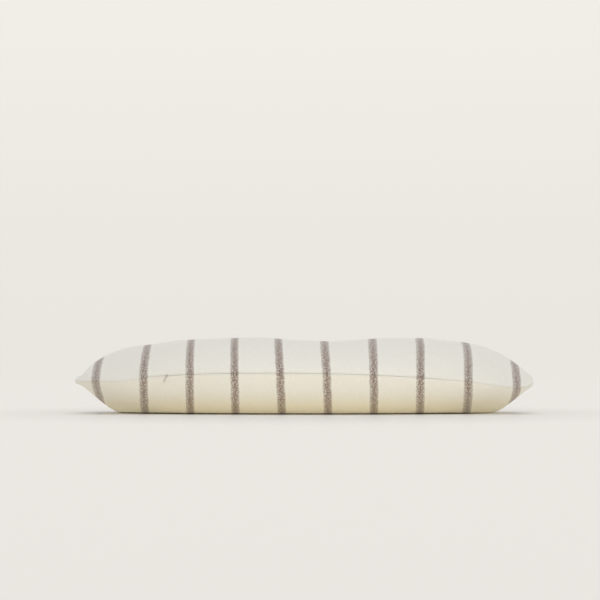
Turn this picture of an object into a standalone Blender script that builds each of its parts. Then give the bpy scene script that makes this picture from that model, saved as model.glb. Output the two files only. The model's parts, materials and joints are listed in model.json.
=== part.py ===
"""Nursing pillow: a C-shaped pillow with a removable two-panel cover.

The cover's panels meet in a seam round the edge. In front that seam is a
concealed zip, whose chain lies on a slightly tilted circle. Inside are the
inner case, its filling, the seam threads and two blank care labels.

Metres, +Z up. The pillow lies on z = 0, the middle of its outer arc faces -Y
and the mouth of the C faces +Y. An angle phi is measured about the arc's
centre, from -Y towards +X.
"""
import math

import bmesh
import bpy
from mathutils import Matrix, Vector

MM = 0.001

# driving dimensions of the pillow
OUTER_RADIUS = 350 * MM            # half the overall width
MAX_THICKNESS = 114 * MM
FRONT_HALF_WIDTH = 110 * MM        # half the arm's width, across, in front
ARM_HALF_WIDTH = 122.5 * MM        # the same at the arms
ARM_WIDE_FROM = math.radians(70)   # where the arms have their full width
ARM_END = math.radians(108)        # where the round ends of the arms begin
CROWN_DIP = 0.055                  # how much thinner the front and the sides are
HUMP_ANGLE = math.radians(42)      # the thickest part is at this angle
END_DIP = 0.04                     # how much thinner again the arms' ends are
LIP = 5 * MM                       # upright edge of the cover each side of its seam
CONTACT_SHARE = 0.79               # how much of the lower dome is above the floor

# seam line
TILT = math.radians(5.49)          # the zip's circle is tilted, highest in front
TILT_ANGLE = math.radians(-8)      # where it is highest
TILT_CENTRE_Z = 27.4 * MM          # height of the tilted circle's centre
LEFT_TIP_Z = 50.8 * MM
RIGHT_TIP_Z = 47.4 * MM
INNER_SEAM_Z = 54 * MM
LEFT_EASE = (math.radians(40), math.radians(56))
RIGHT_EASE = (math.radians(64), math.radians(90))

# cover
COVER_THICKNESS = 1.2 * MM
ALLOWANCE = 10 * MM                # seam allowance turned into the pillow
SEAM_GAP = 0.15 * MM               # half the gap between the two panels
ZIP_GAP = 2.0 * MM                 # half the slit along the zip
THREAD_SETBACK = 11.3 * MM         # overlock thread, from the seam line
THREAD_RADIUS = 1.0 * MM

# inner pillow
CASE_INSET = 18 * MM
CASE_GAP = 2.5 * MM                # below the cover's inner face
CASE_THICKNESS = 0.8 * MM
CASE_THREAD_SETBACK = 16.6 * MM
CASE_THREAD_RADIUS = 0.8 * MM
CLOSING_STITCH_LENGTH = 120 * MM
FILLING_GAP = 2.0 * MM

# stations along the C: (from angle, to angle, steps), and the grid across it
ZIP_FROM, ZIP_TO, ZIP_STEPS = math.radians(-41.5), math.radians(42), 21
SIDE_STEP = math.radians(8)
CAP_STEPS = 4
COLUMNS = 10
CASE_STEP = math.radians(9)
CASE_CAP_STEPS = 3
CASE_COLUMNS = 8

# zip; s is measured inwards from the lips' face, h upwards from the slit
SLIDER_REST = math.radians(-35.5)
CHAIN_FROM, CHAIN_TO = math.radians(-36.6), math.radians(36.1)
BEAD_DEPTH, BEAD_HEIGHT, BEAD_RADIUS = 3.0 * MM, 1.1 * MM, 0.6 * MM
TAPE_DEPTHS = (3.9 * MM, 15.5 * MM)
TAPE_HEIGHTS = (1.25 * MM, 1.7 * MM)
TOP_STOP_ANGLE, BOTTOM_STOP_ANGLE = math.radians(-37), math.radians(36.6)
BARTACK_ANGLES = (math.radians(-38.4), math.radians(38.9))
SLIDER_LENGTH = 9 * MM
BAR_DEPTH, BAR_RADIUS = -1.4 * MM, 0.45 * MM
POST_FROM, POST_TO, POST_HALF_HEIGHT = 1.5 * MM, 2.3 * MM, 0.46 * MM
EYE_RADIUS, EYE_HOLE, EYE_HALF_WIDTH = 1.2 * MM, 0.75 * MM, 1.2 * MM
TAB_THICKNESS, TAB_WIDTH, TAB_TOP, TAB_END = 0.7 * MM, 2.8 * MM, 2.4 * MM, 10.5 * MM
TAB_LEAN = math.radians(25)        # the tab hangs a little to the left

# colours: (red, green, blue, roughness, metallic)
CREAM_COTTON = (0.76, 0.74, 0.67, 0.85, 0.0)
CREAM_THREAD = (0.80, 0.77, 0.69, 0.70, 0.0)
CREAM_TAPE = (0.70, 0.67, 0.59, 0.80, 0.0)
CREAM_ENAMEL = (0.80, 0.76, 0.66, 0.35, 0.0)
WHITE_CASE = (0.85, 0.85, 0.84, 0.80, 0.0)
WHITE_FIBRE = (0.90, 0.90, 0.90, 0.95, 0.0)
WHITE_LABEL = (0.88, 0.88, 0.86, 0.50, 0.0)


def clear_scene():
    for item in list(bpy.data.objects):
        bpy.data.objects.remove(item, do_unlink=True)


def make_collection(name):
    collection = bpy.data.collections.new(name)
    bpy.context.scene.collection.children.link(collection)
    return collection


def make_material(name, look):
    """A plain Principled material."""
    material = bpy.data.materials.new(name)
    material.use_nodes = True
    shader = material.node_tree.nodes["Principled BSDF"]
    shader.inputs["Base Color"].default_value = (*look[:3], 1.0)
    shader.inputs["Roughness"].default_value = look[3]
    shader.inputs["Metallic"].default_value = look[4]
    return material


def smoothstep(value, low, high):
    share = min(max((value - low) / (high - low), 0.0), 1.0)
    return share * share * (3 - 2 * share)


# --- the pillow's form ------------------------------------------------------

def half_width(phi):
    """Half the arm's width at angle phi."""
    share = smoothstep(abs(phi), 0.0, ARM_WIDE_FROM)
    return FRONT_HALF_WIDTH + share * (ARM_HALF_WIDTH - FRONT_HALF_WIDTH)


def crown_height(phi):
    """Height of the crown: two humps, lower in front and at the sides."""
    wave = math.cos(math.pi * min(abs(phi), 2 * HUMP_ANGLE) / HUMP_ANGLE)
    share = 1 - CROWN_DIP * (1 + wave) / 2
    share -= END_DIP * smoothstep(abs(phi), 2 * HUMP_ANGLE, ARM_END)
    return MAX_THICKNESS * share


def back_reach():
    """How far the arms' ends reach behind the arc's centre."""
    centreline = OUTER_RADIUS - ARM_HALF_WIDTH
    return ARM_HALF_WIDTH - centreline * math.cos(ARM_END)


def front_reach():
    """How far the tilted front edge reaches before the arc's centre."""
    return OUTER_RADIUS * math.cos(TILT)


CENTRE = Vector((0.0, (front_reach() - back_reach()) / 2, 0.0))
ZIP_CENTRE = CENTRE + Vector((0.0, 0.0, TILT_CENTRE_Z))
TILT_HINGE = Vector((math.cos(TILT_ANGLE), math.sin(TILT_ANGLE), 0.0))
ZIP_FRAME = Matrix.Translation(ZIP_CENTRE) @ Matrix.Rotation(-TILT, 4, TILT_HINGE)


def polar(radius, phi, height=0.0):
    return Vector((radius * math.sin(phi), -radius * math.cos(phi), height))


def tilt_share(phi):
    """1 where the seam lies on the tilted circle, 0 where it has its tip height."""
    start, end = LEFT_EASE if phi < 0 else RIGHT_EASE
    return 1 - smoothstep(abs(phi), start, end)


def outer_edge(phi, inset, height):
    """A point inset from the outer edge, and height above its seam line."""
    share = tilt_share(phi)
    on_tilted = ZIP_FRAME @ polar(OUTER_RADIUS - inset, phi, height)
    tip_z = LEFT_TIP_Z if phi < 0 else RIGHT_TIP_Z
    level = CENTRE + polar(OUTER_RADIUS - inset, phi, tip_z + height)
    return level.lerp(on_tilted, share)


def stations(steps):
    """The C's stations as (phi, cap); cap is 0 on the arm and 1 at an end's tip."""
    caps, side = steps["caps"], steps["side"]
    arm = []
    for start, end, count in steps["spans"] or ((-ARM_END, ARM_END, None),):
        count = count or round((end - start) / side)
        arm += [start + (end - start) * k / count for k in range(count)]
    arm.append(ARM_END)
    left = [(-ARM_END, (caps - k) / caps) for k in range(caps)]
    right = [(ARM_END, (k + 1) / caps) for k in range(caps)]
    return left + [(phi, 0.0) for phi in arm] + right


COVER_STATIONS = stations({
    "side": SIDE_STEP, "caps": CAP_STEPS,
    "spans": ((-ARM_END, ZIP_FROM, None), (ZIP_FROM, ZIP_TO, ZIP_STEPS), (ZIP_TO, ARM_END, None)),
})
CASE_STATIONS = stations({"side": CASE_STEP, "caps": CASE_CAP_STEPS, "spans": None})


def disc_point(cap, across):
    """Along and across the arm, in half widths, with the end rounded to a half circle."""
    along = cap * math.sqrt(1 - across * across / 2)
    return along, across * math.sqrt(1 - cap * cap / 2)


def plan_point(station, across, inset):
    """Plan position, and the distances from the centreline that set the height."""
    phi, cap = station
    width = half_width(phi)
    along, over = disc_point(cap, across)
    reach = width - inset
    radial = polar(1.0, phi)
    tangent = Vector((math.cos(phi), math.sin(phi), 0.0)) * math.copysign(1.0, phi)
    centre = CENTRE + polar(OUTER_RADIUS - width, phi)
    place = centre + radial * (over * reach) + tangent * (along * reach)
    rho = math.hypot(along, over) * reach / width
    return place, rho, over * reach / width


def seam_height(phi, over):
    """Height of the seam's surface: the outer seam's, easing to the inner seam's."""
    outer = outer_edge(phi, (1 - over) * half_width(phi) if over > 0 else 0.0, 0.0).z
    return INNER_SEAM_Z + (outer - INNER_SEAM_Z) * (1 + over) / 2


def skin_point(station, across, inset, gap, upper):
    """A point of the upper or lower skin, a gap below the cover's outer face."""
    place, rho, over = plan_point(station, across, inset)
    phi = station[0]
    seam = seam_height(phi, over)
    width = half_width(phi)
    if upper:
        rise = crown_height(phi) - seam - LIP
        normal_gap = gap * math.hypot(1.0, 2 * rho * rise / width)
        place.z = seam + LIP + rise * (1 - rho * rho) - normal_gap
    else:
        drop = (seam - LIP) / CONTACT_SHARE
        normal_gap = gap * math.hypot(1.0, 2 * rho * drop / width)
        place.z = max(gap, seam - LIP - drop * (1 - rho * rho) + normal_gap)
    return place


def edge_point(station, across, inset, height):
    """A point inset from the edge, height above the seam line, on any side."""
    phi, cap = station
    if cap == 0.0 and across > 0:
        return outer_edge(phi, inset, height)
    place, _, over = plan_point(station, across, inset)
    place.z = seam_height(phi, over) + height
    return place


def slit_gap(station, across):
    """Half the gap between the panels: the zip's slit in front, else almost closed."""
    phi, cap = station
    in_zip = cap == 0.0 and across > 0 and ZIP_FROM + 0.01 < phi < ZIP_TO - 0.01
    return ZIP_GAP if in_zip else SEAM_GAP


# --- sheets -----------------------------------------------------------------

def skin_grid(bm, rows, columns, place):
    """A grid over the C; place(station, across) gives each vertex. Returns its parameters."""
    made = bmesh.ops.create_grid(bm, x_segments=columns, y_segments=len(rows) - 1, size=1.0)
    params = {}
    for vert in made["verts"]:
        row = rows[round((vert.co.y + 1) / 2 * (len(rows) - 1))]
        params[vert] = (row, round(vert.co.x * columns / 2) * 2 / columns)
    for vert, (station, across) in params.items():
        vert.co = place(station, across)
    return params


def open_edges(bm):
    return [edge for edge in bm.edges if edge.is_boundary]


def add_rim(bm, params, place):
    """Extrude the open edge once; place(station, across) gives the new edge."""
    made = bmesh.ops.extrude_edge_only(bm, edges=open_edges(bm))["geom"]
    rim = {}
    for vert in [item for item in made if isinstance(item, bmesh.types.BMVert)]:
        source = next(edge.other_vert(vert) for edge in vert.link_edges
                      if edge.other_vert(vert) in params)
        vert.co = place(*params[source])
        rim[vert] = params[source]
    params.clear()
    params.update(rim)


def mesh_object(name, bm, look, collection, smooth=True):
    mesh = bpy.data.meshes.new(name)
    bm.to_mesh(mesh)
    bm.free()
    item = bpy.data.objects.new(name, mesh)
    collection.objects.link(item)
    mesh.materials.append(make_material(name, look))
    if smooth:
        mesh.shade_smooth()
        mesh.set_sharp_from_angle(angle=math.radians(40))
    return item


def face_out(bm, upper):
    """Turn an open skin's faces to the pillow's outside."""
    bm.normal_update()
    bmesh.ops.recalc_face_normals(bm, faces=bm.faces)
    bm.normal_update()
    flattest = max(bm.faces, key=lambda face: abs(face.normal.z) * face.calc_area())
    if (flattest.normal.z > 0) != upper:
        bmesh.ops.reverse_faces(bm, faces=bm.faces)


def solidify(item, thickness):
    shell = item.modifiers.new("thickness", "SOLIDIFY")
    shell.thickness = thickness
    shell.offset = -1.0
    shell.use_even_offset = True
    shell.use_rim = True


def make_cover_panel(name, upper, collection):
    """Dome, upright lip and turned-in seam allowance, as one sheet of cloth."""
    sign = 1 if upper else -1

    def dome(station, across):
        rim = abs(across) == 1.0 or station[1] == 1.0
        if rim:
            return edge_point(station, across, 0.0, sign * LIP)
        return skin_point(station, across, 0.0, 0.0, upper)

    bm = bmesh.new()
    params = skin_grid(bm, COVER_STATIONS, COLUMNS, dome)
    for inset in (0.0, ALLOWANCE):
        add_rim(bm, params,
                lambda station, across, depth=inset: edge_point(
                    station, across, depth, sign * slit_gap(station, across)))
    face_out(bm, upper)
    solidify(mesh_object(name, bm, CREAM_COTTON, collection), COVER_THICKNESS)


def make_case_panel(name, upper, collection):
    """Half of the inner pillow's casing: a dome and its upright side."""
    sign = 1 if upper else -1
    gap = COVER_THICKNESS + CASE_GAP
    bm = bmesh.new()
    params = skin_grid(bm, CASE_STATIONS, CASE_COLUMNS,
                       lambda station, across: skin_point(station, across, CASE_INSET, gap, upper))
    add_rim(bm, params,
            lambda station, across: edge_point(station, across, CASE_INSET, sign * SEAM_GAP))
    face_out(bm, upper)
    solidify(mesh_object(name, bm, WHITE_CASE, collection), CASE_THICKNESS)


def make_filling(collection):
    """The polyester fibre, as one closed solid inside the casing."""
    inset = CASE_INSET + CASE_THICKNESS + FILLING_GAP
    gap = COVER_THICKNESS + CASE_GAP + CASE_THICKNESS + FILLING_GAP
    bm = bmesh.new()

    def lower(station, across):
        return skin_point(station, across, inset, gap, False)

    upper_params = skin_grid(bm, CASE_STATIONS, CASE_COLUMNS,
                             lambda station, across: skin_point(station, across, inset, gap, True))
    add_rim(bm, upper_params, lower)
    skin_grid(bm, CASE_STATIONS, CASE_COLUMNS, lower)
    bmesh.ops.remove_doubles(bm, verts=bm.verts, dist=0.001 * MM)
    bmesh.ops.recalc_face_normals(bm, faces=bm.faces)
    mesh_object("fibre_filling", bm, WHITE_FIBRE, collection)


# --- threads ----------------------------------------------------------------

def outline(rows, columns):
    """The whole edge in order, from the left end's tip along the outside and back."""
    left, right = rows[0], rows[-1]
    outer = [(row, 1.0) for row in rows]
    right_end = [(right, 1 - 2 * k / columns) for k in range(1, columns)]
    inner = [(row, -1.0) for row in reversed(rows)]
    left_end = [(left, -1 + 2 * k / columns) for k in range(1, columns)]
    return outer + right_end + inner + left_end


def run_length(points):
    return sum((b - a).length for a, b in zip(points, points[1:]))


def make_thread(name, points, radius, collection):
    """A line of stitching as a thin tube along points."""
    curve = bpy.data.curves.new(name, "CURVE")
    curve.dimensions = "3D"
    curve.bevel_depth = radius
    curve.bevel_resolution = 0
    curve.use_fill_caps = True
    spline = curve.splines.new("POLY")
    spline.points.add(len(points) - 1)
    for target, point in zip(spline.points, points):
        target.co = (*point, 1.0)
    item = bpy.data.objects.new(name, curve)
    collection.objects.link(item)
    curve.materials.append(make_material(name, CREAM_THREAD))


def make_cover_thread(collection):
    """Overlock along the raw edges of the allowances, all round but not at the zip."""
    places = outline(COVER_STATIONS, COLUMNS)
    in_zip = [slit_gap(row, across) == ZIP_GAP for row, across in places]
    start = len(in_zip) - in_zip[::-1].index(True)
    ring = places[start:] + places[:in_zip.index(True)]
    points = [edge_point(row, across, THREAD_SETBACK, 0.0) for row, across in ring]
    make_thread("cover_seam_overlock", points, THREAD_RADIUS, collection)


def make_case_threads(collection):
    """The casing's seam, and the shorter stitching that closes its filling gap."""
    places = outline(CASE_STATIONS, CASE_COLUMNS)
    points = [edge_point(row, across, CASE_THREAD_SETBACK, 0.0) for row, across in places]
    first = next(i for i, (row, across) in enumerate(places) if across < 0 and row[0] < 0.5
                 and row[1] == 0)
    last = first + 2
    while run_length(points[first:last]) < CLOSING_STITCH_LENGTH:
        last += 1
    closing = points[first:last]
    around = points[last - 1:] + points[:first + 1]
    ends = CASE_THREAD_RADIUS + SEAM_GAP
    for run in (closing, around):
        for end, inner in ((0, 1), (-1, -2)):
            run[end] = run[end] + (run[inner] - run[end]).normalized() * ends
    make_thread("inner_closing_stitch", closing, CASE_THREAD_RADIUS, collection)
    make_thread("inner_seam_overlock", around, CASE_THREAD_RADIUS, collection)


# --- small solids -----------------------------------------------------------

def block(name, low, high, look, collection, parent=None, bevel=0.0):
    """A box between two corners in its parent's frame, with softened edges."""
    low, high = Vector(low), Vector(high)
    bm = bmesh.new()
    bmesh.ops.create_cube(bm, size=1.0)
    bmesh.ops.scale(bm, vec=high - low, verts=bm.verts)
    bmesh.ops.translate(bm, vec=(low + high) / 2, verts=bm.verts)
    item = mesh_object(name, bm, look, collection, smooth=False)
    item.parent = parent
    if bevel:
        edge = item.modifiers.new("edges", "BEVEL")
        edge.width = bevel
        edge.segments = 1
        edge.limit_method = "ANGLE"
    return item


def rod(name, radius, half_length, depth, cutters, parent, sides=12):
    """A cylinder along x at a depth, as a tool for joining or cutting."""
    bm = bmesh.new()
    bmesh.ops.create_cone(bm, cap_ends=True, segments=sides, radius1=radius, radius2=radius,
                          depth=2 * half_length)
    bmesh.ops.rotate(bm, matrix=Matrix.Rotation(math.pi / 2, 3, "Y"), verts=bm.verts)
    bmesh.ops.translate(bm, vec=(0.0, depth, 0.0), verts=bm.verts)
    return as_cutter(mesh_object(name, bm, CREAM_ENAMEL, cutters, smooth=False), parent)


def as_cutter(item, parent):
    item.parent = parent
    item.hide_render = True
    item.display_type = "WIRE"
    return item


def combine(item, tool, operation):
    step = item.modifiers.new(tool.name, "BOOLEAN")
    step.operation = operation
    step.solver = "EXACT"
    step.object = tool


def make_empty(name, collection, parent=None, matrix=None):
    item = bpy.data.objects.new(name, None)
    collection.objects.link(item)
    item.empty_display_size = 10 * MM
    item.parent = parent
    if matrix is not None:
        item.matrix_local = matrix
    return item


def place_on_zip(name, phi, collection, zip_frame):
    """An empty on the zip's circle: x along the zip, y into the pillow, z up."""
    matrix = Matrix.Translation(polar(OUTER_RADIUS, phi)) @ Matrix.Rotation(phi, 4, "Z")
    return make_empty(name, collection, zip_frame, matrix)


def swept(name, outline_points, start, end, steps, look, collection, zip_frame):
    """A closed outline of (depth, height) swept along the zip's circle."""
    bm = bmesh.new()
    verts = [bm.verts.new(polar(OUTER_RADIUS - depth, start, height))
             for depth, height in outline_points]
    face = bm.faces.new(verts)
    bmesh.ops.spin(bm, geom=[face, *face.edges, *verts], cent=(0, 0, 0), axis=(0, 0, 1),
                   angle=end - start, steps=steps, use_duplicate=False)
    bmesh.ops.recalc_face_normals(bm, faces=bm.faces)
    item = mesh_object(name, bm, look, collection)
    item.parent = zip_frame


# --- zip --------------------------------------------------------------------

def make_tapes(collection, zip_frame):
    """The woven tape on each side of the chain, sewn to a panel's allowance."""
    step = (ZIP_TO - ZIP_FROM) / ZIP_STEPS
    near, far = TAPE_DEPTHS
    low, high = TAPE_HEIGHTS
    for side, sign in (("upper", 1), ("lower", -1)):
        corners = [(near, sign * low), (far, sign * low), (far, sign * high), (near, sign * high)]
        swept(f"zip_tape_{side}", corners, ZIP_FROM + step, ZIP_TO - step, ZIP_STEPS - 2,
              CREAM_TAPE, collection, zip_frame)


def make_chain(collection, zip_frame):
    """The two halves of the coil, drawn as smooth round beads."""
    turn = [2 * math.pi * (k + 0.5) / 8 for k in range(8)]
    steps = ZIP_STEPS - 3
    for side, sign in (("upper", 1), ("lower", -1)):
        ring = [(BEAD_DEPTH + BEAD_RADIUS * math.cos(a),
                 sign * BEAD_HEIGHT + BEAD_RADIUS * math.sin(a)) for a in turn]
        swept(f"zip_coil_{side}", ring, CHAIN_FROM, CHAIN_TO, steps,
              CREAM_THREAD, collection, zip_frame)


def make_stops(collection, zip_frame):
    """Top stops on each coil, one bottom stop across both, and a bartack at each end."""
    half, near, far = 1 * MM, BEAD_DEPTH - 0.7 * MM, BEAD_DEPTH + 0.7 * MM
    low, high = BEAD_HEIGHT - BEAD_RADIUS, BEAD_HEIGHT + BEAD_RADIUS
    soft = 0.2 * MM
    top = place_on_zip("top_stop_place", TOP_STOP_ANGLE, collection, zip_frame)
    block("zip_top_stop_upper", (-half, near, low), (half, far, high), CREAM_ENAMEL,
          collection, top, soft)
    block("zip_top_stop_lower", (-half, near, -high), (half, far, -low), CREAM_ENAMEL,
          collection, top, soft)
    bottom = place_on_zip("bottom_stop_place", BOTTOM_STOP_ANGLE, collection, zip_frame)
    block("zip_bottom_stop", (-half, near, -high), (half, far, high), CREAM_ENAMEL,
          collection, bottom, soft)
    for side, phi in zip(("left", "right"), BARTACK_ANGLES):
        place = place_on_zip(f"bartack_{side}_place", phi, collection, zip_frame)
        block(f"zip_bartack_{side}", (-half, 0.3 * MM, -half), (half, 2.3 * MM, half),
              CREAM_THREAD, collection, place, soft)


def make_slider(parts, cutters, place):
    """Front plate, neck between the coils, back plate, and the bridge for the pull."""
    half = SLIDER_LENGTH / 2
    body = block("zip_slider", (-half, 0.9 * MM, -1.6 * MM), (half, 2.1 * MM, 1.6 * MM),
                 CREAM_ENAMEL, parts, place, 0.3 * MM)
    front, back, tall = BAR_DEPTH - BAR_RADIUS, 1.2 * MM, POST_HALF_HEIGHT
    joined = (
        ("slider_neck", (-3 * MM, 1.8 * MM, -0.3 * MM), (3 * MM, 4.3 * MM, 0.3 * MM)),
        ("slider_back", (-half, 4.0 * MM, -0.9 * MM), (half, 5.2 * MM, 0.9 * MM)),
        ("slider_post_left", (-POST_TO, front, -tall), (-POST_FROM, back, tall)),
        ("slider_post_right", (POST_FROM, front, -tall), (POST_TO, back, tall)),
    )
    for name, low, high in joined:
        tool = as_cutter(block(name, low, high, CREAM_ENAMEL, cutters), place)
        combine(body, tool, "UNION")
    middle = (POST_FROM + POST_TO) / 2
    combine(body, rod("slider_bar", BAR_RADIUS, middle, BAR_DEPTH, cutters, place), "UNION")


def make_pull(parts, cutters, slider_place):
    """An eye round the slider's bar and a tab that hangs from it."""
    hinge = make_empty("pull_hinge", parts, slider_place,
                       Matrix.Translation((0.0, BAR_DEPTH, 0.0)))
    lean = make_empty("pull_lean", parts, hinge, Matrix.Rotation(TAB_LEAN, 4, "Y"))
    thick = TAB_THICKNESS / 2
    tab = block("zip_pull", (-TAB_WIDTH / 2, -thick, -TAB_END), (TAB_WIDTH / 2, thick, -TAB_TOP),
                CREAM_ENAMEL, parts, lean, 0.3 * MM)
    neck = as_cutter(block("pull_neck", (-0.9 * MM, -thick * 0.9, -3.2 * MM),
                           (0.9 * MM, thick * 0.9, 0.0), CREAM_ENAMEL, cutters), lean)
    combine(tab, neck, "UNION")
    combine(tab, rod("pull_eye", EYE_RADIUS, EYE_HALF_WIDTH, 0.0, cutters, hinge), "UNION")
    combine(tab, rod("pull_hole", EYE_HOLE, 2 * EYE_HALF_WIDTH, 0.0, cutters, hinge),
            "DIFFERENCE")


# --- labels -----------------------------------------------------------------

def place_at_edge(name, station, across, inset, height, collection):
    """An empty near an edge: x along the edge, y across it, z up."""
    spot = edge_point(station, across, inset, height)
    matrix = Matrix.Translation(spot) @ Matrix.Rotation(station[0], 4, "Z")
    return make_empty(name, collection, None, matrix)


def make_labels(collection):
    """Two blank care labels, folded away beside the cover's and the casing's seams."""
    thin = 0.2 * MM
    cover = place_at_edge("cover_label_place", (math.radians(25), 0.0), -1.0, 6 * MM,
                          COVER_THICKNESS + 0.8 * MM, collection)
    block("cover_care_label", (-10 * MM, -3.2 * MM, -thin), (10 * MM, 3.2 * MM, thin),
          WHITE_LABEL, collection, cover)
    case = place_at_edge("case_label_place", (math.radians(75), 0.0), 1.0, 17.2 * MM,
                         8 * MM, collection)
    block("inner_care_label", (-12 * MM, -thin, -5 * MM), (12 * MM, thin, 4 * MM),
          WHITE_LABEL, collection, case)


def build():
    clear_scene()
    parts = make_collection("nursing_pillow")
    cutters = make_collection("nursing_pillow_cutters")
    for side, upper in (("top", True), ("bottom", False)):
        make_cover_panel(f"cover_{side}_panel", upper, parts)
        make_case_panel(f"inner_case_{side}", upper, parts)
    make_filling(parts)
    make_cover_thread(parts)
    make_case_threads(parts)
    zip_frame = make_empty("zip_frame", parts, None, ZIP_FRAME)
    make_tapes(parts, zip_frame)
    make_chain(parts, zip_frame)
    make_stops(parts, zip_frame)
    slider_place = place_on_zip("slider_place", SLIDER_REST, parts, zip_frame)
    make_slider(parts, cutters, slider_place)
    make_pull(parts, cutters, slider_place)
    make_labels(parts)


build()
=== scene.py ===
"""The looks of the striped nursing pillow: its cloth cover, zip, inner pillow and studio.

Metres, +Z up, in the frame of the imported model. The C's outer arc faces -Y, and
an angle phi is measured about the arc's centre, from -Y towards +X. Distances
called depth go from the seam into the pillow, heights go up from the seam line.
"""
import json
import math

import bmesh
import bpy
import numpy as np
from mathutils import Euler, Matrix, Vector, noise


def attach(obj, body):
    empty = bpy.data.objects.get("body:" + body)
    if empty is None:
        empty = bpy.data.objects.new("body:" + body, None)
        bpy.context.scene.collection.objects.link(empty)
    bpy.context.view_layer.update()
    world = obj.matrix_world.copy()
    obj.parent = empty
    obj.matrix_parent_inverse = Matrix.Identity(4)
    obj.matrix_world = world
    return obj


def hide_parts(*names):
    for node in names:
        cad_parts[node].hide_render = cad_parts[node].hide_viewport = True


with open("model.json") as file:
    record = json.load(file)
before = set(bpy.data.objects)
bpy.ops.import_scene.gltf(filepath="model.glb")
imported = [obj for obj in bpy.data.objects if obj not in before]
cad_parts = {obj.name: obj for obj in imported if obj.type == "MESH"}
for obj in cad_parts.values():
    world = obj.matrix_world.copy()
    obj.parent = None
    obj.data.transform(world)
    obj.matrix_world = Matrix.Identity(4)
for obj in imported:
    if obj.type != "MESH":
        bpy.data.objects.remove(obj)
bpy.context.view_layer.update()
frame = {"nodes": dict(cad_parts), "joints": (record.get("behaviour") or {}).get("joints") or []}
MM = 0.001

# --- the pillow's form, as in the CAD frame ----------------------------------

ZIP_JOINT = next(joint for joint in frame["joints"] if joint["name"] == "zip_slide")
ZIP_CENTRE = np.array(ZIP_JOINT["pos_m"])
ZIP_AXIS = Vector(ZIP_JOINT["axis"]).normalized()
ZIP_TURN = np.array(Vector((0, 0, 1)).rotation_difference(ZIP_AXIS).to_matrix())
CENTRE = np.array([0.0, ZIP_CENTRE[1], 0.0])
OUTER_RADIUS = 350 * MM
FRONT_HALF_WIDTH, ARM_HALF_WIDTH = 110 * MM, 122.5 * MM
ARM_WIDE_FROM, ARM_END = math.radians(70), math.radians(108)
THICKNESS = 113.6 * MM               # of the stuffed cloth at its humps
LEFT_TIP_Z, RIGHT_TIP_Z, INNER_SEAM_Z = 48.5 * MM, 45.5 * MM, 54 * MM
RIGHT_DIP, RIGHT_DIP_PLACE = 6 * MM, (math.radians(66), math.radians(22))
LEFT_EASE = (math.radians(40), math.radians(54))
RIGHT_EASE = (math.radians(40), math.radians(60))
ZIP_FROM, ZIP_TO = math.radians(-38.7), math.radians(39.2)

# the cloth grid
ARM_STATIONS, CAP_STATIONS, COLUMNS = 300, 22, 64


def smoothstep(value, low, high):
    share = np.clip((value - low) / (high - low), 0.0, 1.0)
    return share * share * (3 - 2 * share)


def bump(value, middle, width):
    """1 at the middle, falling smoothly to 0 at a width from it."""
    return 1 - smoothstep(np.abs(value - middle), 0.0, width)


def half_width(phi):
    share = smoothstep(np.abs(phi), 0.0, ARM_WIDE_FROM)
    return FRONT_HALF_WIDTH + share * (ARM_HALF_WIDTH - FRONT_HALF_WIDTH)


def crown_height(phi):
    """Height of the crown along the C: a dip in front, and lower to the left and at the ends."""
    angle = np.degrees(phi)
    share = 1 - 0.052 * np.where(angle < 4, bump(angle, 4, 23), bump(angle, 4, 32))
    share -= 0.022 * smoothstep(-angle, 14, 40) + 0.058 * smoothstep(-angle, 42, 72)
    share -= 0.038 * smoothstep(angle, 46, 68) + 0.04 * smoothstep(angle, 70, 92)
    share -= 0.02 * smoothstep(np.abs(angle), 80, 108)
    return THICKNESS * share


def polar(radius, phi, height):
    parts = np.broadcast_arrays(radius * np.sin(phi), -radius * np.cos(phi), height)
    return np.stack(parts, -1)


def tilt_share(phi):
    left = 1 - smoothstep(-phi, *LEFT_EASE)
    right = 1 - smoothstep(phi, *RIGHT_EASE)
    return np.where(phi < 0, left, right)


def outer_edge(phi, depth, height):
    """A point at a depth behind the outer edge and a height above its seam line."""
    share = tilt_share(phi)[..., None]
    tilted = ZIP_CENTRE + polar(OUTER_RADIUS - depth, phi, height) @ ZIP_TURN.T
    tip = np.where(phi < 0, LEFT_TIP_Z, RIGHT_TIP_Z - RIGHT_DIP * bump(phi, *RIGHT_DIP_PLACE))
    level = CENTRE + polar(OUTER_RADIUS - depth, phi, tip + height)
    return level * (1 - share) + tilted * share


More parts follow.
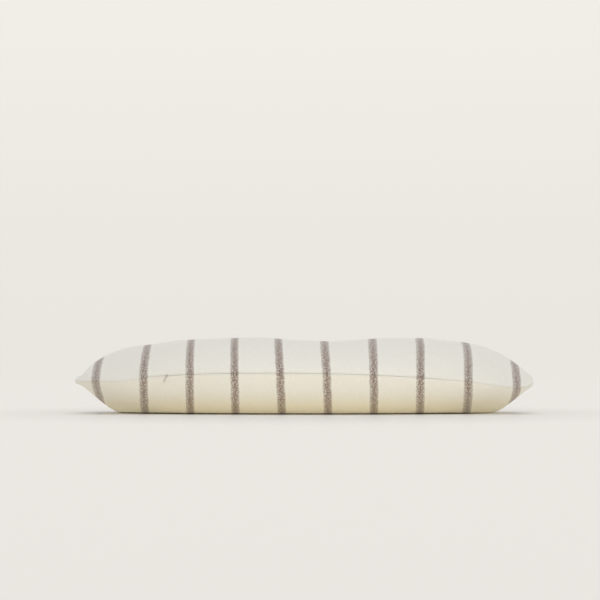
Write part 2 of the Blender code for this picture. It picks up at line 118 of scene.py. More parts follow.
class Cage:
    """The C's grid of stations and columns, with each vertex's place in plan."""

    def __init__(self, arm, cap, columns, inset=0.0):
        phi = np.concatenate([np.full(cap, -ARM_END), np.linspace(-ARM_END, ARM_END, arm + 1),
                              np.full(cap, ARM_END)])
        end = np.concatenate([np.linspace(1, 0, cap + 1)[:-1], np.zeros(arm + 1),
                              np.linspace(0, 1, cap + 1)[1:]])
        across = np.sin(np.linspace(-np.pi / 2, np.pi / 2, columns + 1))
        self.rows, self.columns = len(phi), columns + 1
        self.phi = np.repeat(phi[:, None], columns + 1, 1)
        self.end = np.repeat(end[:, None], columns + 1, 1)
        self.across = np.repeat(across[None, :], len(phi), 0)
        self.width = half_width(self.phi)
        along = self.end * np.sqrt(1 - self.across ** 2 / 2)
        over = self.across * np.sqrt(1 - self.end ** 2 / 2)
        reach = self.width - inset
        radial = polar(1.0, self.phi, 0.0)
        side = np.where(self.phi < 0, -1.0, 1.0)
        tangent = np.stack([np.cos(self.phi) * side, np.sin(self.phi) * side, 0 * side], -1)
        middle = CENTRE + polar(OUTER_RADIUS - self.width, self.phi, 0.0)
        self.plan = (middle + radial * (over * reach)[..., None]
                     + tangent * (along * reach)[..., None])
        self.rho = np.hypot(along, over) * reach / self.width
        self.over = over * reach / self.width
        offset = self.plan - CENTRE
        self.angle = np.arctan2(offset[..., 0], -offset[..., 1])
        self.depth = (1 - self.rho) * self.width

    def seam(self):
        """Height of the seam's surface below each vertex."""
        depth = np.where(self.over > 0, (1 - self.over) * self.width, 0.0)
        outer = outer_edge(self.phi, depth, 0.0)[..., 2]
        return INNER_SEAM_Z + (outer - INNER_SEAM_Z) * (1 + self.over) / 2


# --- the stuffed shape --------------------------------------------------------

FULLNESS = 0.8                     # exponent of the dome: 0.5 is an ellipse, 1 a parabola
LOWER_FULLNESS, LEFT_LOWER_FULLNESS, RIGHT_LOWER_FULLNESS = 0.88, 1.3, 1.03
FRONT_FULLNESS = 0.6               # of both skins round the front, where the stuffing is firm
CONTACT_SHARE, TIP_CONTACT_SHARE = 0.80, 0.71
EAR_ANGLE, NOSE_ANGLE = math.radians(-89), math.radians(91)
EAR_WIDTH, NOSE_WIDTH = math.radians(24), math.radians(30)
EAR_LENGTH, EAR_HEIGHT, EAR_INSET, EAR_FULLNESS = 13 * MM, 8 * MM, 10 * MM, 0.62
NOSE_LENGTH, NOSE_HEIGHT = 7 * MM, 11 * MM
LOWER_EAR_HEIGHT, LOWER_NOSE_HEIGHT = 5.5 * MM, 6.5 * MM
FLOOR_ROUNDING = 3.5 * MM
FOLD = 0.7 * MM                    # the seam's fold radius


def dome(cage, rise, fullness, upper):
    """Height from the seam: the stuffed dome, with the ear and the blunt nose at the tips."""
    outside = smoothstep(cage.over, 0.0, 0.4)
    ear = bump(cage.angle, EAR_ANGLE, EAR_WIDTH) * outside
    nose = bump(cage.angle, NOSE_ANGLE, NOSE_WIDTH) * outside
    inset = EAR_INSET * ear * upper
    rho = np.clip(cage.rho * cage.width / (cage.width - inset), 0.0, 1.0)
    power = fullness + (EAR_FULLNESS - fullness) * ear * upper
    body = rise * (1 - rho ** 2) ** power
    ear_rise = plateau(cage.depth, EAR_LENGTH, EAR_HEIGHT if upper else LOWER_EAR_HEIGHT) * ear
    nose_rise = plateau(cage.depth, NOSE_LENGTH, NOSE_HEIGHT if upper else LOWER_NOSE_HEIGHT) * nose
    return FOLD + (body ** 4 + ear_rise ** 4 + nose_rise ** 4) ** 0.25


def tip_shares(cage):
    """How much a point belongs to the slack underside of the left and of the right tip."""
    outside = smoothstep(cage.over, -0.3, 0.4)
    start, end = math.radians(48), math.radians(80)
    return smoothstep(-cage.angle, start, end) * outside, smoothstep(cage.angle, start, end) * outside


def front_share(cage):
    return 1 - smoothstep(np.abs(cage.angle), math.radians(36), math.radians(62))


def plateau(depth, length, height):
    share = np.clip(depth / length, 0.0, 1.0)
    return height * np.sqrt(1 - (1 - share) ** 2)


def skin(cage, upper, gap=0.0):
    """The upper or lower skin, lowered by a gap below the cover's face."""
    seam = cage.seam()
    point = cage.plan.copy()
    if upper:
        rise = crown_height(cage.angle) - seam - FOLD
        fullness = FULLNESS + (FRONT_FULLNESS - FULLNESS) * front_share(cage)
        height = seam + dome(cage, rise, fullness, upper)
        slope = 2 * cage.rho * rise / cage.width
        point[..., 2] = height - gap * np.hypot(1.0, slope)
    else:
        left, right = tip_shares(cage)
        share = CONTACT_SHARE + (TIP_CONTACT_SHARE - CONTACT_SHARE) * (left + right)
        drop = (seam - FOLD) / share
        fullness = (LOWER_FULLNESS + (LEFT_LOWER_FULLNESS - LOWER_FULLNESS) * left
                    + (RIGHT_LOWER_FULLNESS - LOWER_FULLNESS) * right)
        fullness = fullness + (FRONT_FULLNESS - fullness) * front_share(cage)
        height = seam - dome(cage, drop, fullness, upper)
        slope = 2 * cage.rho * drop / cage.width
        height = height + gap * np.hypot(1.0, slope) - gap
        rounded = (height + np.sqrt(height ** 2 + FLOOR_ROUNDING ** 2)) / 2
        point[..., 2] = rounded + gap
    return point


def grid_normals(point):
    """Unit normals of a grid of points, from its central differences."""
    normal = np.cross(np.gradient(point, axis=1), np.gradient(point, axis=0))
    size = np.linalg.norm(normal, axis=-1, keepdims=True)
    return normal / np.maximum(size, 1e-12)


def noise_field(point, scale, seed):
    """Smooth noise from -1 to 1 over a grid of points."""
    shift = Vector((seed * 7.31, seed * 3.17, seed * 5.71))
    flat = point.reshape(-1, 3) / scale
    values = [noise.noise(Vector(place) + shift) for place in flat]
    return np.array(values).reshape(point.shape[:-1])


def ease_floor(point, upper):
    """How freely the cloth may move: none where it lies on the floor."""
    return 1.0 if upper else smoothstep(point[..., 2], 0.5 * MM, 12 * MM)


def soften(point, cage, upper):
    """Soft lumps of the filling, and short puckers where the seam gathers the cloth."""
    normal = grid_normals(point) * (1 if upper else -1)
    if np.mean(normal[..., 2]) * (1 if upper else -1) < 0:
        normal = -normal
    inside = 1 - np.clip(cage.rho, 0, 1) ** 8
    lumps = 1.6 * MM * noise_field(point, 95 * MM, 1 + upper) * inside
    lumps += 0.5 * MM * noise_field(point, 38 * MM, 3 + upper) * inside
    lumps += 0.9 * MM * puckers(cage, 15 * MM, 14 * MM, upper)
    bay = smoothstep(-cage.over, 0.1, 0.6)
    lumps += 8 * MM * puckers(cage, 26 * MM, 42 * MM, upper) * bay
    return point + normal * (lumps * ease_floor(point, upper))[..., None]


def puckers(cage, spacing, reach, upper):
    """Folds across the seam, strongest a little way in from it, from about -0.5 to 0.5."""
    run = seam_run(cage) / spacing
    wander = cage.depth / (3 * reach)
    places = np.stack([run, 4.7 + 3 * upper + wander, 0 * run], -1).reshape(-1, 3)
    fold = np.array([noise.noise(Vector(place)) for place in places]).reshape(run.shape)
    return fold * np.exp(-cage.depth / reach) * (1 - np.exp(-4 * cage.depth / reach))


def seam_run(cage):
    """Distance along the edge nearest to each vertex."""
    cap = np.arctan2(cage.end, np.maximum(np.abs(cage.across), 0.02)) * cage.width
    return np.where(cage.over > 0, OUTER_RADIUS, OUTER_RADIUS - 2 * cage.width) * cage.phi + \
        np.sign(cage.phi) * cap


# --- cover panels -------------------------------------------------------------

SLIT = 0.13 * MM                    # half the slit between the lips at the zip
CLOSED_SLIT = 0.06 * MM
CLOTH = 0.35 * MM
OVERLOCK_DEPTH = 7 * MM


def edge_levels(in_zip):
    """(depth, height) of the cloth as it folds into the seam, at the zip or elsewhere."""
    if in_zip:
        return [(0.0, SLIT + 0.25 * MM), (0.12 * MM, SLIT + 0.05 * MM), (0.32 * MM, SLIT),
                (0.5 * MM, SLIT + 0.1 * MM), (0.62 * MM, 1.2 * MM), (0.66 * MM, 2.0 * MM),
                (1.2 * MM, 2.5 * MM), (9 * MM, 2.5 * MM)]
    return [(0.0, CLOSED_SLIT + 0.5 * MM), (0.06 * MM, CLOSED_SLIT + 0.28 * MM),
            (0.2 * MM, CLOSED_SLIT + 0.1 * MM), (0.45 * MM, CLOSED_SLIT),
            (1.0 * MM, CLOSED_SLIT), (2.0 * MM, CLOSED_SLIT), (4 * MM, CLOSED_SLIT),
            (9 * MM, CLOSED_SLIT)]


def zip_share(cage):
    """1 along the zip's slit, 0 where the seam is sewn shut."""
    ends = math.radians(0.6)
    inside = smoothstep(cage.phi, ZIP_FROM, ZIP_FROM + ends)
    inside = inside * (1 - smoothstep(cage.phi, ZIP_TO - ends, ZIP_TO))
    return inside * (cage.end == 0) * (cage.across > 0)


def grid_faces(cage, start=0):
    """Faces of a cage's grid whose vertices begin at an index."""
    faces = []
    for i in range(cage.rows - 1):
        for j in range(cage.columns - 1):
            a = start + i * cage.columns + j
            faces.append((a, a + cage.columns, a + cage.columns + 1, a + 1))
    return faces


def border(cage):
    """Grid indices round the edge, once, in order."""
    last_row, last_column = cage.rows - 1, cage.columns - 1
    ring = [(i, last_column) for i in range(cage.rows)]
    ring += [(last_row, j) for j in range(last_column - 1, -1, -1)]
    ring += [(i, 0) for i in range(last_row - 1, -1, -1)]
    ring += [(0, j) for j in range(1, last_column)]
    return ring


def rim_points(cage, ring, upper):
    """The cloth's folded edge, one list of points for each level."""
    sign = 1 if upper else -1
    rows, columns = np.array(ring).T
    share = zip_share(cage)[rows, columns]
    phi, over, width = (values[rows, columns] for values in (cage.phi, cage.over, cage.width))
    plan = cage.plan[rows, columns]
    seam = cage.seam()[rows, columns]
    middle = CENTRE + polar(OUTER_RADIUS - width, phi, 0.0)
    inward = middle - plan
    arm = cage.end[rows, columns] == 0
    inward /= np.linalg.norm(inward, axis=1, keepdims=True)
    levels = []
    for (depth_a, height_a), (depth_b, height_b) in zip(edge_levels(False), edge_levels(True)):
        depth = depth_a + (depth_b - depth_a) * share
        height = sign * (height_a + (height_b - height_a) * share)
        point = plan + inward * depth[:, None]
        point[:, 2] = seam + height
        outer = arm & (over > 0)
        exact = outer_edge(phi, depth, height)
        levels.append(np.where(outer[:, None], exact, point))
    return levels


STRIPE_PITCH, STRIPE_HALF = 70.3 * MM, 6.9 * MM


def pattern_u(point, seam):
    """The cloth's coordinate across its stripes. The zip eases the cloth, so it isn't quite x."""
    x, height = point[..., 0], point[..., 2] - seam
    side = np.abs(x) / (310 * MM)
    above = np.where(x < 0, 2.4 * MM * smoothstep(side, 0.5, 0.8), -1.2 * MM * bump(side, 0.65, 0.4))
    above = above * smoothstep(height, 8 * MM, 50 * MM)
    below = 3 * MM * smoothstep(-height, 5 * MM, 30 * MM) * smoothstep(side, 0.8, 1.0)
    bow = np.sign(x) * (above + below) - 1.2 * MM * np.exp(-((x - 120 * MM) / (75 * MM)) ** 2)
    lean = -3.5 * MM * (height / (60 * MM)) * np.exp(-(x / (90 * MM)) ** 2)
    x = x + bow - lean
    turn = np.pi * x / (320 * MM)
    return x + MM * (6.2 * np.sin(turn) + 2.6 * np.cos(turn) - 1.3 * np.sin(2 * turn) - 0.3)


def pattern_v(point, cage):
    """The cloth's coordinate along its stripes: depth from front to back, eased over the dome."""
    rise = np.abs(point[..., 2] - cage.seam())
    slack = rise.max(axis=1, keepdims=True) - rise
    facing = cage.over * np.cos(cage.phi) - cage.end
    return point[..., 1] - slack * facing


def make_panel(name, cage, point, upper):
    """One cover panel: the stuffed skin and its folded edge, with pattern coordinates."""
    ring = border(cage)
    levels = rim_points(cage, ring, upper)
    surface = point.copy()
    rows, columns = np.array(ring).T
    sign = 1 if upper else -1
    surface[rows, columns] = levels[0] + (0.0, 0.0, sign * CLOTH)
    verts = [*surface.reshape(-1, 3), *np.concatenate(levels)]
    base, count = cage.rows * cage.columns, len(ring)
    faces = grid_faces(cage)
    outer = [i * cage.columns + j for i, j in ring]
    for level in range(len(levels)):
        start = base + level * count
        inner = [start + k for k in range(count)]
        for k in range(count):
            n = (k + 1) % count
            faces.append((outer[k], inner[k], inner[n], outer[n]))
        outer = inner
    seam = cage.seam()
    u = pattern_u(surface, seam)
    v = pattern_v(surface, cage)
    ring_u, ring_v = u[rows, columns], v[rows, columns]
    us = np.concatenate([u.ravel(), *([ring_u] * len(levels))])
    vs = np.concatenate([v.ravel(), *([ring_v] * len(levels))])
    item = mesh_piece(name, verts, faces, upper)
    store_pattern(item, us, vs)
    return item


def mesh_piece(name, verts, faces, up):
    """A mesh object whose faces look up, or down."""
    mesh = bpy.data.meshes.new(name)
    mesh.from_pydata([tuple(vert) for vert in verts], [], faces)
    bm = bmesh.new()
    bm.from_mesh(mesh)
    bmesh.ops.recalc_face_normals(bm, faces=bm.faces)
    area = sum(face.normal.z * face.calc_area() for face in bm.faces)
    if (area > 0) != up:
        bmesh.ops.reverse_faces(bm, faces=bm.faces)
    bm.to_mesh(mesh)
    bm.free()
    mesh.shade_smooth()
    item = bpy.data.objects.new(name, mesh)
    bpy.context.scene.collection.objects.link(item)
    return item


def store_pattern(item, us, vs):
    layer = item.data.uv_layers.new(name="pattern")
    index = np.zeros(len(item.data.loops), int)
    item.data.loops.foreach_get("vertex_index", index)
    layer.data.foreach_set("uv", np.stack([us[index], vs[index]], 1).ravel())


# --- materials ----------------------------------------------------------------

class Nodes:
    """Short names for building a node tree."""

    def __init__(self, tree):
        self.tree = tree

    def add(self, kind, **settings):
        node = self.tree.nodes.new(kind)
        for key, value in settings.items():
            setattr(node, key, value)
        return node

    def link(self, source, target):
        self.tree.links.new(source, target)

    def math(self, operation, a, b=0.0, c=0.0):
        node = self.add("ShaderNodeMath", operation=operation)
        for socket, value in zip(node.inputs, (a, b, c)):
            if isinstance(value, (int, float)):
                socket.default_value = value
            else:
                self.link(value, socket)
        return node.outputs[0]

    def ramp(self, value, stops, interpolation="LINEAR"):
        node = self.add("ShaderNodeValToRGB")
        node.color_ramp.interpolation = interpolation
        elements = node.color_ramp.elements
        while len(elements) < len(stops):
            elements.new(0.5)
        for element, (place, colour) in zip(elements, stops):
            element.position = place
            element.color = (*colour, 1.0) if len(colour) == 3 else (colour[0],) * 3 + (1.0,)
        self.link(value, node.inputs[0])
        return node.outputs[0]

    def noise(self, vector, scale, detail=2.0, rough=0.5):
        node = self.add("ShaderNodeTexNoise")
        node.inputs["Scale"].default_value = scale
        node.inputs["Detail"].default_value = detail
        node.inputs["Roughness"].default_value = rough
        self.link(vector, node.inputs["Vector"])
        return node.outputs[0]

    def mix(self, share, a, b, blend="MIX"):
        node = self.add("ShaderNodeMix", data_type="RGBA", blend_type=blend)
        for socket, value in ((node.inputs[0], share), (node.inputs[6], a), (node.inputs[7], b)):
            if isinstance(value, tuple):
                socket.default_value = (*value, 1.0)
            elif isinstance(value, (int, float)):
                socket.default_value = value
            else:
                self.link(value, socket)
        return node.outputs[2]

    def combine(self, x, y, z=0.0):
        node = self.add("ShaderNodeCombineXYZ")
        for socket, value in zip(node.inputs, (x, y, z)):
            if isinstance(value, (int, float)):
                socket.default_value = value
            else:
                self.link(value, socket)
        return node.outputs[0]

    def smoothstep(self, value, low, high, start=0.0, end=1.0):
        node = self.add("ShaderNodeMapRange", interpolation_type="SMOOTHSTEP")
        for name, number in (("From Min", low), ("From Max", high),
                             ("To Min", start), ("To Max", end)):
            node.inputs[name].default_value = number
        self.link(value, node.inputs["Value"])
        return node.outputs[0]

    def bump(self, height, strength, distance):
        node = self.add("ShaderNodeBump")
        node.inputs["Strength"].default_value = strength
        node.inputs["Distance"].default_value = distance
        self.link(height, node.inputs["Height"])
        self.link(node.outputs[0], self.shader.inputs["Normal"])


def material_nodes(name):
    """The node tree of a new material, ready to be filled."""
    material = bpy.data.materials.new(name)
    material.use_nodes = True
    nodes = Nodes(material.node_tree)
    nodes.material = material
    nodes.shader = material.node_tree.nodes["Principled BSDF"]
    nodes.shader.inputs["Specular IOR Level"].default_value = 0.2
    return nodes


def linear(red, green, blue):
    """A colour given in sRGB, 0 to 255, as linear light."""
    values = [channel / 255 for channel in (red, green, blue)]
    return tuple(v / 12.92 if v <= 0.04045 else ((v + 0.055) / 1.055) ** 2.4 for v in values)


THREAD_PITCH = 0.85 * MM
DOT_PITCH = 3.0 * MM               # between the flecks of dye in the stripes
CREAM = (0.80, 0.785, 0.735)
WARM_CREAM = (0.775, 0.75, 0.685)
LOWER_PAINTED_BOUNCE_TINT = (1.0, 0.985, 0.945)    # painted bounce light: the whole lower panel is tinted warmer, standing in for light bounced up off the floor
PAINTED_FLOOR_BOUNCE_TINT = (1.0, 0.945, 0.76)  # painted bounce light: what that cloth is multiplied by at the floor, a yellower tint standing in for light bounced off the floor
TAUPE = linear(164, 148, 139)
DARK_TAUPE = linear(132, 115, 106)


def tinted(colour, tint):
    return tuple(channel * share for channel, share in zip(colour, tint))


def weave(nodes, u, v, pitch):
    """Height of a plain weave: threads over and under each other."""
    turn = 2 * math.pi / pitch
    across = nodes.math("SINE", nodes.math("MULTIPLY", u, turn))
    along = nodes.math("SINE", nodes.math("MULTIPLY", v, turn))
    checks = nodes.math("MULTIPLY", across, along)
    return nodes.math("MULTIPLY_ADD", checks, 0.5, 0.5)


def stripe_share(nodes, u):
    """How much dyed yarn there is across one stripe: two bands, a dark core and edge lines."""
    pitch = nodes.math("DIVIDE", u, STRIPE_PITCH)
    place = nodes.math("FRACT", pitch)
    half = STRIPE_HALF / STRIPE_PITCH
    across = [(-1.0, 0.0), (-0.92, 0.40), (-0.70, 0.60), (-0.42, 0.74), (-0.22, 0.86),
              (-0.2199, 0.94), (0.18, 0.94), (0.30, 0.80), (0.42, 0.76), (0.52, 0.84),
              (0.70, 0.62), (0.92, 0.40), (1.0, 0.0)]
    stops = [(0.5 + at * half, (share,)) for at, share in across]
    return nodes.ramp(place, [(0.0, (0.0,)), *stops])


def cover_material(name, tint, painted_bounce_below=0.0):
    """Slubby cream cotton with dyed stripes, in pattern coordinates.

    Given a height, the cloth is painted yellower from it down to the height 0: painted bounce light
    off the floor."""
    nodes = material_nodes(name)
    uv = nodes.add("ShaderNodeUVMap", uv_map="pattern").outputs[0]
    parts = nodes.add("ShaderNodeSeparateXYZ")
    nodes.link(uv, parts.inputs[0])
    u, v = parts.outputs[0], parts.outputs[1]
    place = nodes.add("ShaderNodeTexCoord").outputs["Object"]
    wander = nodes.noise(nodes.combine(0.0, v), 45.0, 2.0)
    wobble = nodes.math("MULTIPLY_ADD", wander, 2.4 * MM, -1.2 * MM)
    stripe_u = nodes.math("ADD", u, wobble)
    dyed = stripe_share(nodes, stripe_u)
    specks = nodes.noise(nodes.combine(u, nodes.math("MULTIPLY", v, 0.75)), 760.0, 3.0, 0.7)
    dots = nodes.add("ShaderNodeTexVoronoi", voronoi_dimensions="2D")
    dots.inputs["Scale"].default_value = 1 / DOT_PITCH
    nodes.link(nodes.combine(u, v), dots.inputs["Vector"])
    flecks = nodes.smoothstep(dots.outputs["Distance"], 0.15, 0.6, 1.35, 0.62)
    flecks = nodes.math("MULTIPLY", flecks, nodes.ramp(specks, [(0.36, (0.75,)), (0.58, (1.1,))]))
    slub = nodes.noise(nodes.combine(nodes.math("MULTIPLY", u, 6.0), nodes.math("MULTIPLY", v, 0.6)),
                       90.0, 3.0, 0.6)
    yarn = nodes.math("MULTIPLY", dyed, flecks)
    yarn = nodes.math("MULTIPLY", yarn, nodes.math("MULTIPLY_ADD", slub, 0.6, 0.85))
    dye = nodes.mix(dyed, tinted(TAUPE, tint), tinted(DARK_TAUPE, tint))
    tone = nodes.noise(place, 14.0, 3.0)
    cream = nodes.mix(nodes.math("MULTIPLY", tone, 0.6), tinted(CREAM, tint), tinted(WARM_CREAM, tint))
    thread_tone = nodes.ramp(slub, [(0.35, (0.965,)), (0.62, (1.0,))])
    undyed = nodes.mix(1.0, cream, thread_tone, "MULTIPLY")
    share = nodes.add("ShaderNodeClamp")
    nodes.link(yarn, share.inputs[0])
    colour = nodes.mix(share.outputs[0], undyed, dye)
    # painted bounce light: the cloth is multiplied yellower towards the floor, standing in for light
    # bounced off it
    if painted_bounce_below:
        height = nodes.add("ShaderNodeSeparateXYZ")
        nodes.link(place, height.inputs[0])
        painted_bounce_share = nodes.smoothstep(height.outputs[2], 0.0, painted_bounce_below, 1.0, 0.0)
        colour = nodes.mix(painted_bounce_share, colour, PAINTED_FLOOR_BOUNCE_TINT, "MULTIPLY")
    nodes.link(colour, nodes.shader.inputs["Base Color"])
    rough = nodes.math("MULTIPLY_ADD", specks, 0.15, 0.78)
    nodes.link(rough, nodes.shader.inputs["Roughness"])
    nodes.shader.inputs["Sheen Weight"].default_value = 0.25
    nodes.shader.inputs["Sheen Roughness"].default_value = 0.5
    threads = weave(nodes, u, v, THREAD_PITCH * 2)
    height = nodes.math("MULTIPLY_ADD", slub, 0.6, threads)
    height = nodes.math("MULTIPLY_ADD", specks, 0.5, height)
    nodes.bump(height, 0.35, 0.15 * MM)
    return nodes.material


def cloth_material(name, colour, pitch, dark=0.93):
    """Plain woven cloth or tape, in object space."""
    nodes = material_nodes(name)
    place = nodes.add("ShaderNodeTexCoord").outputs["Object"]
    parts = nodes.add("ShaderNodeSeparateXYZ")
    nodes.link(place, parts.inputs[0])
    x, y, z = parts.outputs
    threads = weave(nodes, nodes.math("ADD", x, z), nodes.math("ADD", y, z), pitch)
    grain = nodes.noise(place, 300.0, 3.0)
    shade = tuple(channel * dark for channel in colour)
    nodes.link(nodes.mix(nodes.math("MULTIPLY", threads, grain), shade, colour),
               nodes.shader.inputs["Base Color"])
    nodes.link(nodes.math("MULTIPLY_ADD", grain, 0.2, 0.7), nodes.shader.inputs["Roughness"])
    nodes.bump(nodes.math("ADD", threads, grain), 0.4, 0.2 * MM)
    return nodes.material


def enamel_material():
    """Cream enamel on the zip's slider and pull, slightly worn."""
    nodes = material_nodes("cream_enamel")
    place = nodes.add("ShaderNodeTexCoord").outputs["Object"]
    wear = nodes.noise(place, 900.0, 3.0)
    nodes.link(nodes.mix(nodes.math("MULTIPLY", wear, 0.5), linear(204, 201, 188),
                         linear(182, 178, 162)), nodes.shader.inputs["Base Color"])
    nodes.link(nodes.math("MULTIPLY_ADD", wear, 0.2, 0.32), nodes.shader.inputs["Roughness"])
    nodes.shader.inputs["Specular IOR Level"].default_value = 0.5
    nodes.bump(wear, 0.15, 0.05 * MM)
    return nodes.material


def fibre_material():
    """Crimped white filling fibre."""
    nodes = material_nodes("filling_fibre")
    place = nodes.add("ShaderNodeTexCoord").outputs["Object"]
    strands = nodes.noise(place, 240.0, 6.0, 0.75)
    nodes.link(nodes.mix(strands, linear(226, 226, 224), linear(248, 248, 247)),
               nodes.shader.inputs["Base Color"])
    nodes.link(nodes.math("MULTIPLY_ADD", strands, 0.1, 0.85), nodes.shader.inputs["Roughness"])
    nodes.bump(strands, 0.9, 2 * MM)
    return nodes.material


# --- building -----------------------------------------------------------------

def build_cover():
    cage = Cage(ARM_STATIONS, CAP_STATIONS, COLUMNS)
    for name, upper, node, look in (
            ("cover_top_cloth", True, "cover_top_panel",
             cover_material("top_cotton", (1.0, 1.0, 1.0))),
            # painted bounce light: the bottom cloth is tinted warmer all over
            ("cover_bottom_cloth", False, "cover_bottom_panel",
             # painted bounce light: the bottom cloth is also painted yellower below 40 mm, towards the
             # floor
             cover_material("bottom_cotton", LOWER_PAINTED_BOUNCE_TINT, painted_bounce_below=40 * MM))):
        point = soften(skin(cage, upper), cage, upper)
        item = make_panel(name, cage, point, upper)
        thick = item.modifiers.new("cloth", "SOLIDIFY")
        thick.thickness = CLOTH
        thick.offset = -1.0
        item.data.materials.append(look)
        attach(item, "pillow")
        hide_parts(node)


def build_overlock(look):
    """The thread over the panels' raw edges, all round inside the seam but at the zip."""
    cage = Cage(ARM_STATIONS, CAP_STATIONS, COLUMNS)
    ring = border(cage)
    rows, columns = np.array(ring).T
    plan, phi = cage.plan[rows, columns], cage.phi[rows, columns]
    inward = CENTRE + polar(OUTER_RADIUS - cage.width[rows, columns], phi, 0.0) - plan
    point = plan + inward / np.linalg.norm(inward, axis=1, keepdims=True) * OVERLOCK_DEPTH
    point[:, 2] = cage.seam()[rows, columns]
    at_zip = (zip_share(cage)[rows, columns] > 0).nonzero()[0]
    course = [(at_zip[-1] + 1 + k) % len(ring) for k in range(len(ring) - len(at_zip))]
    curve = bpy.data.curves.new("overlock_thread", "CURVE")
    curve.dimensions = "3D"
    curve.bevel_depth, curve.bevel_resolution = 0.4 * MM, 2
    curve.use_fill_caps = True
    spline = curve.splines.new("POLY")
    spline.points.add(len(course) - 1)
    for k, (place, index) in enumerate(zip(spline.points, course)):
        weave_side = 1 if k % 2 else -1
        place.co = (*(point[index] + (0, 0, weave_side * 0.3 * MM)), 1.0)
    item = bpy.data.objects.new("overlock_thread", curve)
    bpy.context.scene.collection.objects.link(item)
    curve.materials.append(look)
    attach(item, "pillow")
    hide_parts("cover_seam_overlock")


def build_inner(case_material, fibre):
    """The casing as one padded piece, and the filling inside it."""
    for name, gap, inset, nodes, slot, look in (
            ("inner_pillow", 5 * MM, 16 * MM, ("inner_case_top", "inner_case_bottom"),
             "case_cloth", case_material),
            ("filling_mass", 8 * MM, 19.5 * MM, ("fibre_filling",), "fibre", fibre)):
        cage = Cage(120, 10, 30, inset)
        top, bottom = skin(cage, True, gap), skin(cage, False, gap)
        top = soften(top, cage, True)
        item = closed_piece(name, cage, top, bottom)
        item.data.materials.append(look)
        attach(item, "pillow")
        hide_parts(*nodes)


def closed_piece(name, cage, top, bottom):
    """Top and bottom skins joined by an upright side."""
    ring = border(cage)
    columns, base = cage.columns, cage.rows * cage.columns
    verts = [*top.reshape(-1, 3), *bottom.reshape(-1, 3)]
    faces = grid_faces(cage) + grid_faces(cage, base)
    for k, (i, j) in enumerate(ring):
        p, q = ring[(k + 1) % len(ring)]
        a, b = i * columns + j, p * columns + q
        faces.append((a, b, b + base, a + base))
    item = mesh_piece(name, verts, faces, True)
    bm = bmesh.new()
    bm.from_mesh(item.data)
    bmesh.ops.recalc_face_normals(bm, faces=bm.faces)
    if bm.calc_volume(signed=True) < 0:
        bmesh.ops.reverse_faces(bm, faces=bm.faces)
    bm.to_mesh(item.data)
    bm.free()
    item.data.shade_smooth()
    return item


def dress_nodes(looks):
    """Materials of the CAD nodes that stay."""
    for name, node in frame["nodes"].items():
        if node.hide_render:
            continue
        look = looks[next(key for key in looks if key in name)]
        node.data.materials.clear()
        node.data.materials.append(look)


# --- studio -------------------------------------------------------------------

CAMERA_DISTANCE = 8.0              # from the plane of the pillow's tips
CAMERA_HEIGHT = 0.07
VIEW_WIDTH = 0.917                 # what the picture spans at that plane
AIM_SIDE = -6.6 * MM
AIM_HEIGHT = 0.1723                # height of the picture's middle at that plane
PAPER, HIGH_PAPER = linear(234, 230, 224), linear(242, 238, 232)
FLOOR_COLOUR = (0.68, 0.66, 0.63)
FLOOR_GLOW = 0.225
FLOOR_RADIUS, FLOOR_FADE = 80.0, (9.0, 26.0)       # it fades into the backdrop over the latter
GLOW_EDGE, GLOW_SIDE = (0.30, 0.55), (0.30, 0.37)  # the glow starts outside the contact
POOL_REACH, POOL_SHADE = (0.6, 1.9, 1.0), 0.17     # a faint soft shade round the pillow
CEILING = (0.70, 0.70, 0.70)
SOFTBOX = (2.36, 2.32, 2.23)
SOFTBOX_SIDE = Vector((0.1, -1.0, 0.0))
KEY_LIGHT, KEY_WIDTH, KEY_COLOUR = 0.15, math.radians(45), (1.0, 0.985, 0.96)
KEY_SIDE = Vector((0.35, -0.25, 0.9))
FILL_LIGHT, FILL_WIDTH, FILL_COLOUR = 0.8, math.radians(60), (1.0, 0.95, 0.82)
FILL_SIDE = Vector((0.03, -0.3, -0.95))
SHIELD_SHARE, FRONT_SHIELD_SHARE = 0.485, 0.58     # of the half width, just past the contact
SHIELD_HEIGHT = -1 * MM


def make_camera():
    data = bpy.data.cameras.new("camera")
    data.sensor_width = 36.0
    data.lens = data.sensor_width * CAMERA_DISTANCE / VIEW_WIDTH
    data.clip_end = 200.0
    item = bpy.data.objects.new("camera", data)
    item.location = (AIM_SIDE, CENTRE[1] - CAMERA_DISTANCE, CAMERA_HEIGHT)
    pitch = math.atan2(AIM_HEIGHT - CAMERA_HEIGHT, CAMERA_DISTANCE)
    item.rotation_euler = Euler((math.pi / 2 + pitch, 0.0, 0.0))
    bpy.context.scene.collection.objects.link(item)
    bpy.context.scene.camera = item


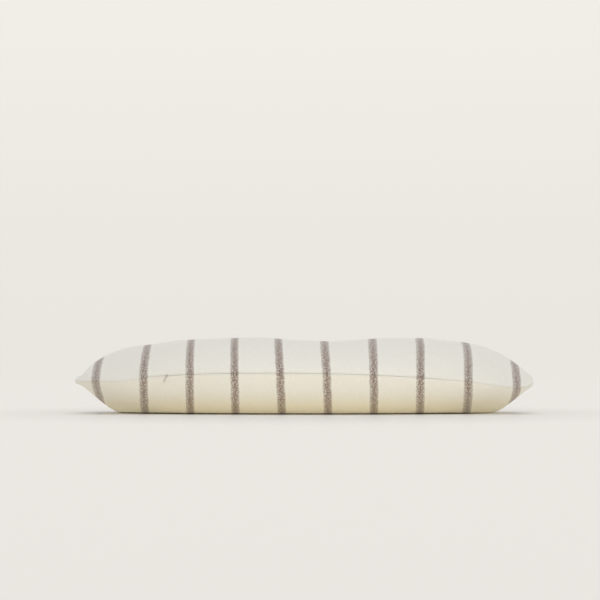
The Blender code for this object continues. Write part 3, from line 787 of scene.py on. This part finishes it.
def floor_material():
    """Satin paper near the pillow, fading into the backdrop's own light far from it."""
    nodes = material_nodes("studio_paper")
    place = nodes.add("ShaderNodeTexCoord").outputs["Object"]
    grain = nodes.noise(place, 60.0, 4.0)
    worn = tinted(FLOOR_COLOUR, (0.985,) * 3)
    paper = nodes.mix(nodes.math("MULTIPLY", grain, 0.3), FLOOR_COLOUR, worn)
    length = nodes.add("ShaderNodeVectorMath", operation="LENGTH")
    nodes.link(place, length.inputs[0])
    away = length.outputs["Value"]
    spread = nodes.add("ShaderNodeVectorMath", operation="MULTIPLY_ADD")
    spread.inputs[1].default_value = [1 / reach for reach in POOL_REACH]
    spread.inputs[2].default_value = (0.0, -CENTRE[1] / POOL_REACH[1], 0.0)
    nodes.link(place, spread.inputs[0])
    from_middle = nodes.add("ShaderNodeVectorMath", operation="LENGTH")
    nodes.link(spread.outputs[0], from_middle.inputs[0])
    pool = nodes.smoothstep(from_middle.outputs["Value"], 0.35, 1.0, POOL_SHADE, 0.0)
    shade = nodes.math("SUBTRACT", 1.0, pool)
    nodes.link(nodes.mix(shade, (0.0, 0.0, 0.0), paper), nodes.shader.inputs["Base Color"])
    nodes.shader.inputs["Roughness"].default_value = 0.35
    nodes.shader.inputs["Specular IOR Level"].default_value = 0.3
    nodes.shader.inputs["Emission Color"].default_value = (*PAPER, 1.0)
    offset = nodes.add("ShaderNodeVectorMath", operation="DISTANCE")
    offset.inputs[1].default_value = CENTRE
    nodes.link(place, offset.inputs[0])
    parts = nodes.add("ShaderNodeSeparateXYZ")
    nodes.link(place, parts.inputs[0])
    beside = nodes.smoothstep(nodes.math("ABSOLUTE", parts.outputs[0]), *GLOW_SIDE)
    clear = nodes.math("MAXIMUM", beside, nodes.smoothstep(offset.outputs["Value"], *GLOW_EDGE))
    glow = nodes.math("MULTIPLY", nodes.math("MULTIPLY", shade, clear), FLOOR_GLOW)
    nodes.link(glow, nodes.shader.inputs["Emission Strength"])
    far = nodes.add("ShaderNodeEmission")
    far.inputs["Color"].default_value = (*PAPER, 1.0)
    blend = nodes.add("ShaderNodeMixShader")
    nodes.link(nodes.smoothstep(away, *FLOOR_FADE), blend.inputs[0])
    nodes.link(nodes.shader.outputs[0], blend.inputs[1])
    nodes.link(far.outputs[0], blend.inputs[2])
    nodes.link(blend.outputs[0], nodes.tree.nodes["Material Output"].inputs["Surface"])
    return nodes.material


def make_floor():
    bm = bmesh.new()
    bmesh.ops.create_circle(bm, cap_ends=True, segments=96, radius=FLOOR_RADIUS)
    mesh = bpy.data.meshes.new("studio_floor")
    bm.to_mesh(mesh)
    bm.free()
    item = bpy.data.objects.new("studio_floor", mesh)
    bpy.context.scene.collection.objects.link(item)
    mesh.materials.append(floor_material())
    return item


def make_world():
    """A pale backdrop all round, a wide softbox low in front, and a dimmer ceiling."""
    world = bpy.data.worlds.new("soft_light")
    bpy.context.scene.world = world
    world.use_nodes = True
    nodes = Nodes(world.node_tree)
    direction = nodes.add("ShaderNodeTexCoord").outputs["Generated"]
    parts = nodes.add("ShaderNodeSeparateXYZ")
    nodes.link(direction, parts.inputs[0])
    dot = nodes.add("ShaderNodeVectorMath", operation="DOT_PRODUCT")
    dot.inputs[1].default_value = SOFTBOX_SIDE.normalized()
    nodes.link(direction, dot.inputs[0])
    up = parts.outputs[2]
    backdrop = nodes.mix(nodes.smoothstep(up, 0.005, 0.085), PAPER, HIGH_PAPER)
    around = nodes.mix(nodes.smoothstep(up, 0.12, 0.45), backdrop, CEILING)
    height = nodes.smoothstep(up, 0.12, 0.55, 1.0, 0.0)
    softbox = nodes.math("MULTIPLY", nodes.smoothstep(dot.outputs["Value"], -0.2, 0.9), height)
    light = nodes.mix(softbox, around, SOFTBOX)
    nodes.link(light, world.node_tree.nodes["Background"].inputs["Color"])


def sun(name, energy, width, colour, side):
    """A sun lamp whose light comes from the given side."""
    data = bpy.data.lights.new(name, "SUN")
    data.energy, data.angle, data.color = energy, width, colour
    item = bpy.data.objects.new(name, data)
    item.rotation_euler = (-side).to_track_quat("-Z", "Y").to_euler()
    bpy.context.scene.collection.objects.link(item)
    return item


def make_shield():
    """A sheet under the floor that keeps the fill light off the line where the pillow touches down."""
    cage = Cage(120, 10, 8)
    middle = CENTRE + polar(OUTER_RADIUS - cage.width, cage.phi, 0.0)
    share = SHIELD_SHARE + (FRONT_SHIELD_SHARE - SHIELD_SHARE) * front_share(cage)
    point = middle + (cage.plan - middle) * share[..., None]
    point[..., 2] = SHIELD_HEIGHT
    item = mesh_piece("light_shield", point.reshape(-1, 3), grid_faces(cage), True)


def make_fill_light(floor):
    """A wide, faint light from below, which the floor doesn't stop: the glow of a light table."""
    item = sun("fill_light", FILL_LIGHT, FILL_WIDTH, FILL_COLOUR, FILL_SIDE)
    blockers = bpy.data.collections.new("fill_light_blockers")
    blockers.objects.link(floor)
    blockers.collection_objects[0].light_linking.link_state = "EXCLUDE"
    item.light_linking.blocker_collection = blockers


def make_studio():
    bpy.context.scene.view_settings.view_transform = "Standard"
    floor = make_floor()
    make_world()
    sun("key_light", KEY_LIGHT, KEY_WIDTH, KEY_COLOUR, KEY_SIDE)
    make_fill_light(floor)
    make_shield()


def main():
    white = cloth_material("white_cotton", linear(240, 240, 238), 0.8 * MM)
    thread = cloth_material("cream_thread", linear(226, 220, 204), 0.5 * MM, 0.8)
    tape = cloth_material("zip_tape_weave", linear(214, 208, 190), 0.6 * MM, 0.85)
    satin = cloth_material("label_satin", linear(244, 243, 240), 0.3 * MM)
    enamel = enamel_material()
    build_cover()
    build_overlock(thread)
    build_inner(white, fibre_material())
    dress_nodes({"tape": tape, "coil": thread, "overlock": thread, "stitch": thread,
                 "bartack": thread, "label": satin, "slider": enamel, "pull": enamel,
                 "stop": enamel})
    make_studio()
    make_camera()


main()
